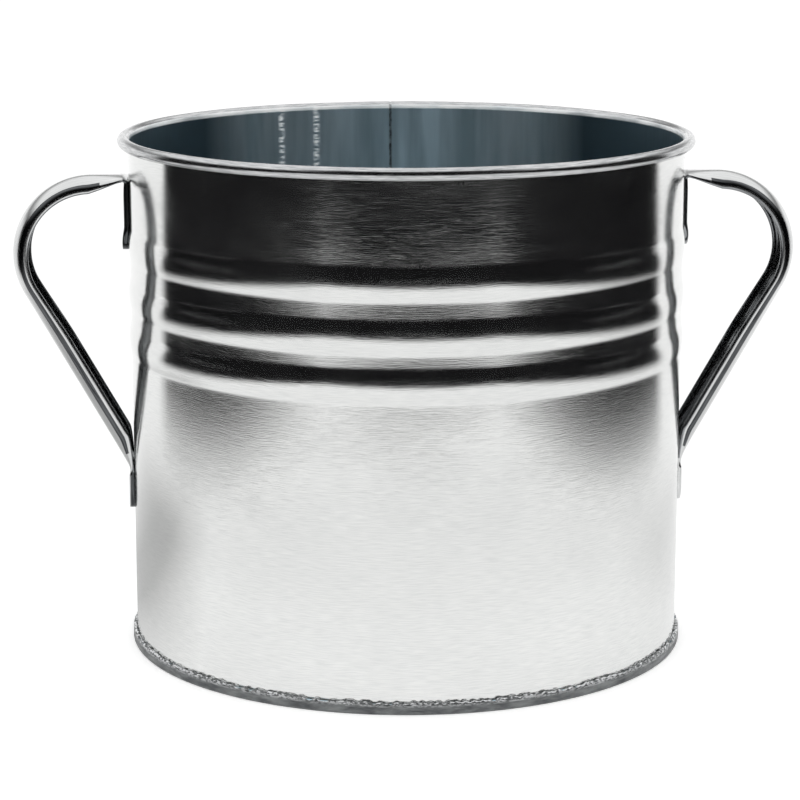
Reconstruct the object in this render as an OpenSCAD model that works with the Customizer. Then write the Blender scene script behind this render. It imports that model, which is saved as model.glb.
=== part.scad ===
// Florist bucket in bright galvanised sheet: a straight rolled body with three swaged
// beads and a wired rim, a base pan locked on by a double seam, and two fixed side
// handles pressed from strip. Millimetres. Z is up, the bucket stands on Z = 0, the
// handles lie on the X axis and the body's lap seam is at +Y.

/* [Body] */
// Outer diameter of the straight wall
body_d = 202.4; // [160:0.1:250]
// Height from the resting edge to the centre of the rim curl
rim_z = 186.4; // [150:0.1:240]
// Thickness of the body sheet
sheet_t = 0.5; // [0.4:0.05:0.8]
// Width of the lap where the body sheet's two edges are joined
lap_w = 8; // [4:0.5:14]
// Length of lap cut away at the rim and at the base seam
lap_notch = 3; // [2:0.5:6]

/* [Rim] */
// Diameter of the wire that stiffens the rim
wire_d = 3.2; // [2:0.01:5]
// Room between the wire and the sheet rolled over it
wire_gap = 0.05; // [0.02:0.01:0.15]
// Angle left open where the curl comes back to the wall
curl_open_angle = 45; // [41:1:80]

/* [Beads] */
// Number of beads round the body
bead_count = 3; // [1:1:4]
// Distance of the highest bead's centre below the centre of the rim curl
bead_drop = 37.4; // [35:0.1:60]
// Distance from one bead to the next
bead_pitch = 17; // [14:0.1:22]
// Height of one bead along the wall
bead_w = 11.2; // [6:0.1:13.5]
// How far a bead stands out of the wall
bead_rise = 0.7; // [0.4:0.05:1.5]

/* [Base] */
// Thickness of the base pan's sheet
pan_t = 0.5; // [0.4:0.05:0.8]
// Height of the double seam round the foot
seam_h = 4.6; // [3.8:0.1:8]
// Height of the pan's floor above the resting edge, to its upper face
floor_z = 6.5; // [5:0.1:12]
// Room between the folded layers of the seam
seam_gap = 0.03; // [0.01:0.01:0.06]
// Inner radius of the seam's folds
fold_in_r = 0.2; // [0.15:0.01:0.4]
// Height of the sealant between the body's fold and the pan's hook
sealant_h = 0.77; // [0.3:0.01:1.2]

/* [Handles] */
// Width of the pressed handle
handle_w = 18; // [14:0.1:24]
// Depth of the handle's channel from its crown to its lips
handle_depth = 6; // [5:0.1:9]
// Thickness of the handle strip
strip_t = 0.6; // [0.5:0.01:1]
// Radius of the handle's shoulders
shoulder_r = 3; // [2:0.1:3.6]
// Height of the handle's straight side above the centre of its lip
side_h = 0.2; // [0.1:0.05:1]
// Diameter of the rolled lip along each edge
lip_d = 1.6; // [1.3:0.01:2]
// Distance of the handle's crown below the centre of the rim curl, where it leaves the wall
handle_drop = 12.9; // [8:0.1:16]
// How far the handle stands out from the wall
handle_reach = 42.5; // [35:0.1:55]
// Radius of the handle's bend, at the crown
bend_r = 29; // [24:0.1:35]
// Lean of the handle's leg from upright
leg_angle = 29.5; // [24.5:0.1:38]
// Length over which the lower end is pressed flat
lower_flat = 14; // [11.5:0.1:20]

/* [Handle tabs] */
// Thickness of the pressed flat tab
tab_t = 1.2; // [1:0.01:2]
// Width of each tab
tab_w = 16; // [13:0.1:20]
// Length of the upper tab below the handle's crown
upper_tab = 27.5; // [22.5:0.1:34]
// Length of the lower tab below the leg's crown
lower_tab = 15; // [12:0.5:22]
// Diameter of a spot weld's nugget
weld_d = 4; // [3:0.1:5]
// Distance between a tab's two spot welds
weld_pitch = 8; // [6:0.1:10]
// Depth of a nugget into the body sheet
weld_in_body = 0.25; // [0.15:0.05:0.35]
// Depth of a nugget into the tab
weld_in_tab = 0.6; // [0.4:0.1:0.8]
// Distance of the upper spot welds below the handle's crown
upper_weld_drop = 12; // [9:0.1:14.5]
// Distance of the lower spot welds above the lower tab's end
lower_weld_rise = 7; // [5.8:0.1:8.5]

/* [Hidden] */
// Smoothness of every round face
$fn = 180;
// Overlap that joins the shapes of one piece
join = 0.02;
// Overlap that carries a cut clear of a face
past = 1;
// Thickness of the slices that a flattened end is drawn between
slice_t = 0.1;
// How deep the flattened ends run into the tab
root_in = 0.4;
// How far inside the tab's edges the flattened ends are drawn
root_inset = 0.2;
// How far a flattened end stands proud of the channel where it starts
root_proud = 0.15;
// Length of a flattened end over the channel
root_lap = 1;
// Sides of the round parts of a flattened end
root_fn = 32;

wall_r = body_d / 2;
inner_r = wall_r - sheet_t;
curl_r = wire_d / 2 + wire_gap + sheet_t;
curl_x = inner_r + curl_r;
bead_r = (pow(bead_w / 2, 2) + pow(bead_rise, 2)) / (2 * bead_rise);
bead_x = wall_r + bead_rise - bead_r;
bead_zs = [for (i = [0 : bead_count - 1]) rim_z - bead_drop - i * bead_pitch];
body_fold_r = fold_in_r + sheet_t;
pan_fold_r = fold_in_r + pan_t;

// Seam layers from the wall outwards: the pan's hook, the body's hook, the pan's skirt
hook_in = wall_r + seam_gap;
hook_out = hook_in + pan_t;
body_hook_in = hook_out + seam_gap;
body_hook_out = body_hook_in + sheet_t;
skirt_in = body_hook_out + seam_gap;
seam_r = skirt_in + pan_t;
chuck_out = inner_r - seam_gap;
chuck_in = chuck_out - pan_t;
body_foot_z = pan_t + seam_gap;
sealant_z = body_foot_z + body_fold_r;
hook_end_z = sealant_z + sealant_h;

// Handle: height of the crown, centre of the bend, and where the leg meets the tab
handle_z = rim_z - handle_drop;
bend_x = wall_r + handle_reach - bend_r;
bend_z = handle_z - bend_r;
leg_len = (bend_x + bend_r * cos(leg_angle) - wall_r - tab_t) / sin(leg_angle);
foot_z = bend_z - bend_r * sin(leg_angle) - leg_len * cos(leg_angle);
shoulder_u = handle_w / 2 - shoulder_r;
shoulder_v = handle_depth - lip_d / 2 - side_h;
crown_r = (pow(shoulder_u, 2) + pow(shoulder_v, 2) - pow(shoulder_r, 2))
    / (2 * (shoulder_v - shoulder_r));
upper_tab_z = handle_z - upper_tab;
lower_tab_z = foot_z - lower_tab;
tab_angle = 2 * asin(tab_w / 2 / wall_r) + 4;
lap_angle = lap_w / wall_r * 180 / PI;
weld_angle = weld_pitch / wall_r * 180 / PI;
weld_zs = [handle_z - upper_weld_drop, lower_tab_z + lower_weld_rise];

// Rectangle with round corners, from one corner to the opposite one
module soft_rect(x0, z0, x1, z1, r) {
    translate([x0 + r, z0])
        square([x1 - x0 - 2 * r, z1 - z0]);
    translate([x0, z0 + r])
        square([x1 - x0, z1 - z0 - 2 * r]);
    for (x = [x0 + r, x1 - r], z = [z0 + r, z1 - r])
        translate([x, z])
            circle(r = r);
}

// Everything inside the beaded wall's face, grown outwards by the given amount
module wall_region(grow, low, high) {
    translate([wall_r / 2, low])
        square([wall_r / 2 + grow, high - low]);
    for (z = bead_zs)
        translate([bead_x, z])
            intersection() {
                circle(r = bead_r + grow);
                translate([0, -bead_w])
                    square([bead_r * 2, bead_w * 2]);
            }
}

// Section of the body sheet from its hook in the base seam to the wired rim
module body_section() {
    difference() {
        wall_region(0, body_foot_z + body_fold_r, rim_z);
        wall_region(-sheet_t, 0, rim_z + past);
    }
    // foot folded out and up into the seam
    difference() {
        soft_rect(inner_r, body_foot_z, body_hook_out, seam_h, body_fold_r);
        soft_rect(wall_r, body_foot_z + sheet_t, body_hook_in, seam_h + past, fold_in_r);
        translate([wall_r, seam_h - pan_fold_r])
            square([seam_r - wall_r, seam_h]);
    }
    // curl rolled over the rim wire
    translate([curl_x, rim_z])
        difference() {
            circle(r = curl_r);
            circle(r = curl_r - sheet_t);
            polygon([
                [0, 0],
                [-curl_r * 2, 0],
                [-curl_r * 2, -curl_r * 2 * tan(curl_open_angle)]
            ]);
        }
}

// Second layer of the body sheet where its edges lap, notched at both ends
module lap() {
    low = seam_h + lap_notch;
    high = rim_z - curl_r - lap_notch;
    rotate([0, 0, 90 - lap_angle / 2])
        rotate_extrude(angle = lap_angle)
            intersection() {
                difference() {
                    wall_region(sheet_t, low, high);
                    wall_region(-join, low - past, high + past);
                }
                translate([wall_r - past, low])
                    square([curl_r * 2, high - low]);
            }
}

// Nuggets of the two spot welds in each tab, on the side given by its angle
module nuggets(side) {
    for (z = weld_zs, a = [-weld_angle / 2, weld_angle / 2])
        rotate([0, 0, side + a])
            translate([wall_r - weld_in_body, 0, z])
                rotate([0, 90, 0])
                    cylinder(h = weld_in_body + weld_in_tab, d = weld_d, $fn = 48);
}

module body_shell() {
    color("Gainsboro")
        difference() {
            union() {
                rotate_extrude()
                    body_section();
                lap();
            }
            nuggets(0);
            nuggets(180);
        }
}

module rim_wire() {
    color("DarkGray")
        rotate_extrude()
            translate([curl_x, rim_z])
                circle(d = wire_d);
}

module base_pan() {
    color("Silver")
        rotate_extrude() {
            // floor and the wall that drops from it inside the body
            difference() {
                translate([0, pan_fold_r])
                    square([chuck_out, floor_z - pan_fold_r]);
                translate([-past, -past])
                    soft_rect(0, 0, chuck_in + past, floor_z - pan_t + past, fold_in_r);
                translate([chuck_out - pan_fold_r, floor_z - pan_fold_r])
                    difference() {
                        square(pan_fold_r + past);
                        circle(r = pan_fold_r);
                    }
            }
            // foot, skirt and the hook turned down inside the body's hook
            difference() {
                soft_rect(chuck_in, 0, seam_r, seam_h, pan_fold_r);
                soft_rect(chuck_out, pan_t, skirt_in, seam_h - pan_t, fold_in_r);
                translate([chuck_in - past, pan_fold_r])
                    square([hook_in - chuck_in + past, seam_h]);
            }
            translate([hook_in, hook_end_z])
                square([pan_t, seam_h - fold_in_r - hook_end_z]);
        }
}

module seam_sealant() {
    color("DimGray")
        rotate_extrude()
            translate([wall_r, sealant_z])
                square([body_hook_in - wall_r, sealant_h]);
}

// Outline of the handle's D shaped section, set in from its face by the given amount;
// X runs outwards from the crown and Y across the width
module handle_region(inset, depth) {
    r = shoulder_r - inset;
    half = handle_w / 2 - inset;
    tx = shoulder_u * (crown_r - inset) / (crown_r - shoulder_r);
    tv = crown_r - (crown_r - shoulder_v) * (crown_r - inset) / (crown_r - shoulder_r);
    intersection() {
        translate([-crown_r, 0])
            circle(r = crown_r - inset);
        translate([-tv, -tx])
            square([crown_r, 2 * tx]);
    }
    for (s = [-1, 1])
        translate([-shoulder_v, s * shoulder_u])
            circle(r = r);
    polygon([
        [-tv + join, -tx],
        [-tv + join, tx],
        [-shoulder_v, half],
        [-shoulder_v, -half]
    ]);
    translate([-depth, -half])
        square([depth - shoulder_v, 2 * half]);
}

// Section of the handle's channel with its two rolled lips
module handle_section() {
    difference() {
        handle_region(0, handle_depth - lip_d / 2);
        handle_region(strip_t, handle_depth + past);
    }
    for (s = [-1, 1])
        translate([-handle_depth + lip_d / 2, s * (handle_w / 2 - lip_d / 2)])
            circle(d = lip_d, $fn = 48);
}

// Places children at an angle of the bend, X outwards from the crown, Y along the strip
module on_bend(angle) {
    translate([bend_x, 0, bend_z])
        rotate([90, 0, 0])
            rotate([0, 0, angle])
                translate([bend_r, 0, 0])
                    children();
}

// Extrudes a section along the strip, forwards of the bend's angle by the given amount
module along(from, to) {
    translate([0, to, 0])
        rotate([90, 0, 0])
            linear_extrude(height = to - from)
                children();
}

// Tab shaped to the beaded wall, with a round end downwards
module tab(low, high) {
    intersection() {
        rotate([0, 0, -tab_angle / 2])
            rotate_extrude(angle = tab_angle)
                difference() {
                    wall_region(tab_t, low - past, high);
                    wall_region(0, low - 2 * past, high + past);
                }
        translate([bead_x, 0, 0])
            rotate([90, 0, 90])
                linear_extrude(height = bead_r * 2) {
                    translate([0, low + tab_w / 2])
                        circle(d = tab_w);
                    translate([-tab_w / 2, low + tab_w / 2])
                        square([tab_w, high - low - tab_w / 2]);
                }
    }
}

// Slice of a flattened end where it leaves the channel
module root_slice(angle, from) {
    on_bend(angle)
        along(from, from + slice_t)
            handle_region(-root_proud, handle_depth + root_proud, $fn = root_fn);
}

// Slice of a flattened end inside the tab, from one height to another
module tab_slice(low, high) {
    translate([wall_r + root_in, -tab_w / 2 + root_inset, low + root_inset])
        cube([slice_t, tab_w - 2 * root_inset, high - low - 2 * root_inset]);
}

// Upper end pressed flat from the bend to the tab
module upper_root() {
    hull() {
        root_slice(90, -root_lap);
        tab_slice(handle_z - tab_t, handle_z);
    }
}

// Lower end pressed flat from the leg to the tab
module lower_root() {
    hull() {
        root_slice(-leg_angle, -leg_len + lower_flat + root_lap);
        tab_slice(foot_z, foot_z + 2 * tab_t);
    }
}

module handle() {
    difference() {
        union() {
            translate([bend_x, 0, bend_z])
                rotate([90, 0, 0])
                    rotate([0, 0, -leg_angle])
                        rotate_extrude(angle = 90 + leg_angle)
                            translate([bend_r, 0])
                                handle_section();
            on_bend(-leg_angle)
                along(-leg_len + lower_flat, 0)
                    handle_section();
            upper_root();
            lower_root();
            tab(upper_tab_z, handle_z);
            tab(lower_tab_z, foot_z + 2 * tab_t);
        }
        nuggets(0);
    }
}

module handle_right() {
    color("LightGray")
        handle();
}

module handle_left() {
    color("LightGray")
        rotate([0, 0, 180])
            handle();
}

module handle_welds() {
    color("SlateGray") {
        nuggets(0);
        nuggets(180);
    }
}

body_shell();
rim_wire();
base_pan();
seam_sealant();
handle_right();
handle_left();
handle_welds();
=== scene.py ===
"""Florist bucket in bright galvanised sheet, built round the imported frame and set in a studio."""

import logging
import math
from dataclasses import dataclass, field
from enum import Enum

import bpy
import numpy as np
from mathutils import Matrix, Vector


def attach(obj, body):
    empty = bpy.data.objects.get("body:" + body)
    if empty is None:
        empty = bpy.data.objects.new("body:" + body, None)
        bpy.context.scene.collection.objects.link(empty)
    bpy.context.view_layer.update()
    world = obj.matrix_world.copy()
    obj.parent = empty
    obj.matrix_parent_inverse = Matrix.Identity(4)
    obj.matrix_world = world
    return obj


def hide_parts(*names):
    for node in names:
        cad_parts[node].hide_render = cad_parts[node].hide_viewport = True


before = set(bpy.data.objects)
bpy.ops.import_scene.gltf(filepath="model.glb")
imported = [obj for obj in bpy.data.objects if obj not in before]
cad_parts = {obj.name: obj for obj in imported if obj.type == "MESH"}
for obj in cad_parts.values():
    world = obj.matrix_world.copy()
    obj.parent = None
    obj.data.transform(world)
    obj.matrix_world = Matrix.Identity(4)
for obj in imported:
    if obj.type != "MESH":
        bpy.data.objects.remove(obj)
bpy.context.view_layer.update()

MM = 0.001
LOG = logging.getLogger("florist_bucket")

Socket = bpy.types.NodeSocket
Material = bpy.types.Material
Piece = bpy.types.Object
Triple = tuple[float, float, float]
Span = tuple[float, float]


class Ends(Enum):
    """How the first and last rows of a skin are closed."""

    LOOP = "the last row joins the first"
    CAPPED = "each end is closed with a fan"


class Side(Enum):
    """Which side of the bucket a handle stands on, as the sign of X."""

    RIGHT = 1.0
    LEFT = -1.0


# ---------------------------------------------------------------- surfaces


@dataclass
class Skin:
    """One closed surface, ready to be laid into a mesh."""

    points: np.ndarray
    quads: np.ndarray
    quad_uv: np.ndarray
    quad_slot: np.ndarray
    fans: np.ndarray
    fan_uv: np.ndarray
    fan_slot: np.ndarray


def skin_volume(points: np.ndarray, quads: np.ndarray, fans: np.ndarray) -> float:
    """Signed volume of a closed skin: a sixth of the sum of a . (b x c) over its triangles.

    Args:
        points: Corner positions, (n, 3).
        quads: Four corners a face, (m, 4).
        fans: Three corners a face, (k, 3).

    Returns:
        The volume, negative when the faces point inwards.
    """
    triangles = np.concatenate([quads[:, [0, 1, 2]], quads[:, [0, 2, 3]], fans])
    a, b, c = (points[triangles[:, i]] for i in range(3))
    return float(np.einsum("ij,ij->i", a, np.cross(b, c)).sum() / 6.0)


def woven_skin(grid: np.ndarray, uv: np.ndarray, slots: np.ndarray, ends: Ends) -> Skin:
    """Joins a grid of points into a closed skin whose columns run round in a ring.

    Args:
        grid: Points in metres, (rows, columns, 3).
        uv: Pattern coordinates, one column wider than the grid, and one row taller on a loop.
        slots: Material slot of each row of faces, or of each face, (rows, columns).
        ends: How the rows are closed.

    Returns:
        The skin, with its faces outwards.
    """
    rows, cols = grid.shape[:2]
    bands = rows if ends is Ends.LOOP else rows - 1
    r = np.repeat(np.arange(bands), cols)
    c = np.tile(np.arange(cols), bands)
    below, beside = (r + 1) % rows, (c + 1) % cols
    quads = np.stack(
        [r * cols + c, r * cols + beside, below * cols + beside, below * cols + c], axis=1
    )
    slots = np.broadcast_to(slots.reshape(len(slots), -1), (len(slots), cols))
    quad_uv = np.stack([uv[r, c], uv[r, c + 1], uv[r + 1, c + 1], uv[r + 1, c]], axis=1)
    points = grid.reshape(-1, 3)
    fans = np.zeros((0, 3), int)
    fan_uv = np.zeros((0, 3, 2))
    fan_slot = np.zeros(0, int)
    if ends is Ends.CAPPED:
        ring = np.arange(cols)
        turn = (ring + 1) % cols
        last = (rows - 1) * cols
        hubs = np.stack([grid[0].mean(axis=0), grid[-1].mean(axis=0)])
        hub = rows * cols
        points = np.concatenate([points, hubs])
        first_fan = np.stack([np.full(cols, hub), turn, ring], axis=1)
        last_fan = np.stack([np.full(cols, hub + 1), last + ring, last + turn], axis=1)
        fans = np.concatenate([first_fan, last_fan])
        first_uv = np.stack(
            [(uv[0, :-1] + uv[0, 1:]) / 2, uv[0, 1:], uv[0, :-1]], axis=1
        )
        last_uv = np.stack(
            [(uv[-1, :-1] + uv[-1, 1:]) / 2, uv[-1, :-1], uv[-1, 1:]], axis=1
        )
        fan_uv = np.concatenate([first_uv, last_uv])
        fan_slot = np.repeat([slots[0, 0], slots[bands - 1, 0]], cols)
    if skin_volume(points, quads, fans) < 0:
        quads, quad_uv = quads[:, ::-1], quad_uv[:, ::-1]
        fans, fan_uv = fans[:, ::-1], fan_uv[:, ::-1]
    return Skin(points, quads, quad_uv, slots[r, c], fans, fan_uv, fan_slot)


def lay_piece(name: str, skins: list[Skin], finishes: list[Material]) -> Piece:
    """Lays skins into one smooth mesh object that rides on the bucket's body.

    Args:
        name: Name of the piece.
        skins: Its closed surfaces.
        finishes: Materials in slot order.

    Returns:
        The new object, at the origin, with a UV map in metres.
    """
    offsets = np.cumsum([0] + [len(s.points) for s in skins])[:-1]
    quads = np.concatenate([s.quads + o for s, o in zip(skins, offsets)])
    fans = np.concatenate([s.fans + o for s, o in zip(skins, offsets)])
    mesh = bpy.data.meshes.new(name)
    points = np.concatenate([s.points for s in skins])
    mesh.from_pydata(points.tolist(), [], quads.tolist() + fans.tolist())
    uv = np.concatenate(
        [np.concatenate([s.quad_uv for s in skins]).reshape(-1, 2),
         np.concatenate([s.fan_uv for s in skins]).reshape(-1, 2)]
    )
    layer = mesh.uv_layers.new(name="UVMap")
    layer.data.foreach_set("uv", uv.astype(np.float32).ravel())
    slots = np.concatenate(
        [np.concatenate([s.quad_slot for s in skins]), np.concatenate([s.fan_slot for s in skins])]
    )
    for finish in finishes:
        mesh.materials.append(finish)
    mesh.polygons.foreach_set("material_index", slots.astype(np.int32))
    mesh.polygons.foreach_set("use_smooth", np.ones(len(mesh.polygons), bool))
    mesh.set_sharp_from_angle(angle=math.radians(38))
    mesh.update()
    piece = bpy.data.objects.new(name, mesh)
    bpy.context.scene.collection.objects.link(piece)
    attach(piece, "root")
    return piece


def arc(centre: Span, radius: float, start: float, stop: float, count: int) -> np.ndarray:
    """Points on a circle: centre + radius (cos a, sin a), a running evenly in degrees.

    Args:
        centre: Centre of the circle.
        radius: Its radius.
        start: First angle.
        stop: Last angle.
        count: Number of points.

    Returns:
        The points, (count, 2).
    """
    a = np.radians(np.linspace(start, stop, count))
    return np.stack([centre[0] + radius * np.cos(a), centre[1] + radius * np.sin(a)], axis=1)


def path_length(points: np.ndarray) -> np.ndarray:
    """Distance along a polyline to each of its points."""
    steps = np.linalg.norm(np.diff(points, axis=0), axis=1)
    return np.concatenate([[0.0], np.cumsum(steps)])


def path_frame(points: np.ndarray) -> tuple[np.ndarray, np.ndarray]:
    """Unit tangents of a polyline, and the normals a quarter turn clockwise from them.

    Args:
        points: Distinct points in order, (n, 2).

    Returns:
        Tangents and normals, (n, 2) each.
    """
    tangent = np.gradient(points, path_length(points), axis=0)
    tangent /= np.linalg.norm(tangent, axis=1, keepdims=True)
    return tangent, np.stack([tangent[:, 1], -tangent[:, 0]], axis=1)


def turned(radius: np.ndarray, angle: np.ndarray, z: np.ndarray) -> np.ndarray:
    """Points round the bucket's axis, (r cos a, r sin a, z), carried from millimetres to metres."""
    parts = np.broadcast_arrays(radius * np.cos(angle), radius * np.sin(angle), z)
    return np.stack(parts, axis=-1) * MM


def pattern(wide: np.ndarray, tall: np.ndarray) -> np.ndarray:
    """Pattern coordinates of a grid, from its columns' places and its rows' places in metres."""
    return np.stack(np.meshgrid(wide, tall), axis=-1)


def sheet_ring(middle: np.ndarray, normal: np.ndarray, sheet: float) -> tuple[np.ndarray, np.ndarray]:
    """Outline of a sheet: its middle line +- half the sheet along the normal, out and back.

    Args:
        middle: Middle of the sheet, (n, 2).
        normal: Unit normals, (n, 2).
        sheet: Thickness.

    Returns:
        The outline, (2n, 2), and the distance along the sheet at each of its points.
    """
    along = path_length(middle)
    ring = np.concatenate([middle + normal * sheet / 2, (middle - normal * sheet / 2)[::-1]])
    return ring, np.concatenate([along, along[::-1]])


def smooth_step(x: np.ndarray, low: float, high: float) -> np.ndarray:
    """3t^2 - 2t^3 with t the share of the way from low to high, held between 0 and 1."""
    t = np.clip((x - low) / (high - low), 0.0, 1.0)
    return t * t * (3 - 2 * t)


@dataclass(frozen=True)
class Ripple:
    """Slow hand-made unevenness of rolled sheet, the same on every run."""

    seed: int
    height: float
    turns: tuple[int, int]
    length: Span
    terms: int = 12

    def at(self, angle: np.ndarray, z: np.ndarray) -> np.ndarray:
        """Sum of cosines of (turns x angle + 2 pi z / length + phase), scaled to the height.

        Args:
            angle: Angle round the bucket, in radians.
            z: Height in the same unit as the lengths.

        Returns:
            The offset at each place, in the unit of the height.
        """
        rng = np.random.default_rng(self.seed)
        total = np.zeros(np.broadcast(angle, z).shape)
        for _ in range(self.terms):
            n = int(rng.integers(self.turns[0], self.turns[1] + 1))
            wave = float(rng.uniform(*self.length)) * float(rng.choice([-1.0, 1.0]))
            phase = float(rng.uniform(0, 2 * math.pi))
            total = total + np.cos(n * angle + 2 * math.pi * z / wave + phase)
        return self.height * total / math.sqrt(self.terms)


# ---------------------------------------------------------------- finishes


class NodeBench:
    """A material's node tree, with short calls that add and join its nodes."""

    def __init__(self, name: str) -> None:
        """Starts an empty material with a shader and an output."""
        self.material = bpy.data.materials.new(name)
        self.material.use_nodes = True
        self.tree = self.material.node_tree
        self.tree.nodes.clear()
        self.output = self.add("OutputMaterial")
        self.shader = self.add("BsdfPrincipled")
        self.join(self.shader.outputs[0], self.output.inputs["Surface"])

    def join(self, source: Socket, target: Socket) -> None:
        """Links one socket to another."""
        self.tree.links.new(source, target)

    def add(self, kind: str, operation: str = "") -> bpy.types.Node:
        """Adds a node, set to an operation where one is given."""
        node = self.tree.nodes.new(f"ShaderNode{kind}")
        if operation:
            node.operation = operation
        return node

    def finish(self, colour: Socket, gloss: Socket, metal: float = 1.0) -> None:
        """Gives the shader its colour, its roughness and its share of metal."""
        self.join(colour, self.shader.inputs["Base Color"])
        self.join(gloss, self.shader.inputs["Roughness"])
        self.shader.inputs["Metallic"].default_value = metal

    def coordinates(self, kind: str) -> Socket:
        """Pattern coordinates: UV or Object."""
        return self.add("TexCoord").outputs[kind]

    def noise(
        self, vector: Socket, size: Triple, detail: float = 2.0, rough: float = 0.5, colour: bool = False
    ) -> Socket:
        """Cloudy noise on coordinates divided by the size of one step along each axis.

        Args:
            vector: Coordinates in metres.
            size: Size of one step along each axis, in metres.
            detail: Number of finer layers.
            rough: Strength of each finer layer.
            colour: True for three channels in place of one.

        Returns:
            The noise, about 0.5 on average.
        """
        steps = self.add("Mapping")
        steps.inputs["Scale"].default_value = [1 / s for s in size]
        self.join(vector, steps.inputs["Vector"])
        node = self.add("TexNoise")
        node.inputs["Scale"].default_value = 1.0
        node.inputs["Detail"].default_value = detail
        node.inputs["Roughness"].default_value = rough
        self.join(steps.outputs["Vector"], node.inputs["Vector"])
        return node.outputs["Color" if colour else "Fac"]

    def warped(self, vector: Socket, size: Triple, amount: Triple) -> Socket:
        """Moves coordinates by noise, so that straight lines in them waver.

        Args:
            vector: Coordinates in metres.
            size: Size of one swing along each axis, in metres.
            amount: Largest shift along each axis, in metres.

        Returns:
            The moved coordinates.
        """
        swing = self.noise(vector, size, detail=1.0, colour=True)
        centred = self.add("VectorMath", "SUBTRACT")
        self.join(swing, centred.inputs[0])
        centred.inputs[1].default_value = (0.5, 0.5, 0.5)
        shift = self.add("VectorMath", "MULTIPLY_ADD")
        self.join(centred.outputs[0], shift.inputs[0])
        shift.inputs[1].default_value = [2 * a for a in amount]
        self.join(vector, shift.inputs[2])
        return shift.outputs[0]

    def ranged(self, value: Socket, source: Span, target: Span = (0.0, 1.0)) -> Socket:
        """Maps one range of values to another, held at its ends.

        Args:
            value: The value.
            source: Its range.
            target: The range it becomes.

        Returns:
            The mapped value.
        """
        node = self.add("MapRange")
        node.inputs["From Min"].default_value, node.inputs["From Max"].default_value = source
        node.inputs["To Min"].default_value, node.inputs["To Max"].default_value = target
        self.join(value, node.inputs["Value"])
        return node.outputs["Result"]

    def sum(self, first: Socket, second: Socket, share: float) -> Socket:
        """The first value plus a share of the second."""
        node = self.add("Math", "MULTIPLY_ADD")
        self.join(second, node.inputs[0])
        node.inputs[1].default_value = share
        self.join(first, node.inputs[2])
        return node.outputs[0]

    def maths(self, operation: str, first: Socket, second: float | Socket = 0.0) -> Socket:
        """One step of arithmetic.

        Args:
            operation: What is done, in the node's own words.
            first: The first value.
            second: The second value, a number or a socket.

        Returns:
            The result.
        """
        node = self.add("Math", operation)
        self.join(first, node.inputs[0])
        if isinstance(second, float):
            node.inputs[1].default_value = second
        else:
            self.join(second, node.inputs[1])
        return node.outputs[0]

    def product(self, first: Socket, second: Socket) -> Socket:
        """One value times another."""
        return self.maths("MULTIPLY", first, second)

    def axes(self, vector: Socket) -> bpy.types.NodeOutputs:
        """The X, Y and Z parts of coordinates."""
        node = self.add("SeparateXYZ")
        self.join(vector, node.inputs[0])
        return node.outputs

    def blend(self, amount: Socket, first: Triple | Socket, second: Triple) -> Socket:
        """Blends two colours.

        Args:
            amount: Share of the second colour.
            first: A colour or the socket that gives it.
            second: The other colour.

        Returns:
            The blended colour.
        """
        node = self.add("Mix")
        node.data_type = "RGBA"
        self.join(amount, node.inputs["Factor"])
        if isinstance(first, tuple):
            node.inputs["A"].default_value = (*first, 1.0)
        else:
            self.join(first, node.inputs["A"])
        node.inputs["B"].default_value = (*second, 1.0)
        return node.outputs["Result"]

    def relief(self, height: Socket, depth: float, strength: float = 1.0) -> None:
        """Presses a height pattern into the shader's normal.

        Args:
            height: Height from 0 to 1.
            depth: Depth of the pattern in metres.
            strength: Share of the relief that shows.
        """
        node = self.add("Bump")
        node.inputs["Distance"].default_value = depth
        node.inputs["Strength"].default_value = strength
        self.join(height, node.inputs["Height"])
        self.join(node.outputs["Normal"], self.shader.inputs["Normal"])


@dataclass(frozen=True)
class GrainedZinc:
    """Bright zinc over rolled sheet, with a fine wavering grain along the pattern's U axis."""

    name: str
    light: Triple = (0.775, 0.78, 0.77)
    shade: Triple = (0.655, 0.665, 0.66)
    gloss: Span = (0.075, 0.18)
    grain: Span = (0.0065, 0.00036)
    relief: float = 0.000015
    clouds: float = 0.03
    lean: float = 0.35
    turn: float = 0.25

    def make(self) -> Material:
        """Builds the material: long thin lines for relief and tone, slow clouds for gloss."""
        bench = NodeBench(self.name)
        place = bench.coordinates("UV")
        wavering = bench.warped(place, (0.009, 0.005, 1.0), (0.0, 0.0007, 0.0))
        long, thin = self.grain
        lines = bench.noise(wavering, (long, thin, 1.0), rough=0.55)
        hairs = bench.noise(wavering, (long * 2.6, thin * 0.4, 1.0), detail=1.0)
        clouds = bench.noise(place, (self.clouds * 1.6, self.clouds, 1.0), detail=3.0, rough=0.6)
        height = bench.sum(lines, hairs, 0.5)
        tone = bench.sum(bench.ranged(lines, (0.35, 0.7), (0.0, 0.6)), clouds, 0.45)
        colour = bench.blend(bench.ranged(tone, (0.2, 0.95)), self.light, self.shade)
        wear = bench.sum(bench.sum(clouds, lines, 0.5), hairs, 0.8)
        bench.finish(colour, bench.ranged(wear, (0.85, 1.45), self.gloss))
        bench.relief(height, self.relief)
        bench.shader.inputs["Anisotropic"].default_value = self.lean
        bench.shader.inputs["Anisotropic Rotation"].default_value = self.turn
        tangent = bench.add("Tangent")
        tangent.direction_type = "UV_MAP"
        tangent.uv_map = "UVMap"
        bench.join(tangent.outputs[0], bench.shader.inputs["Tangent"])
        return bench.material


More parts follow.
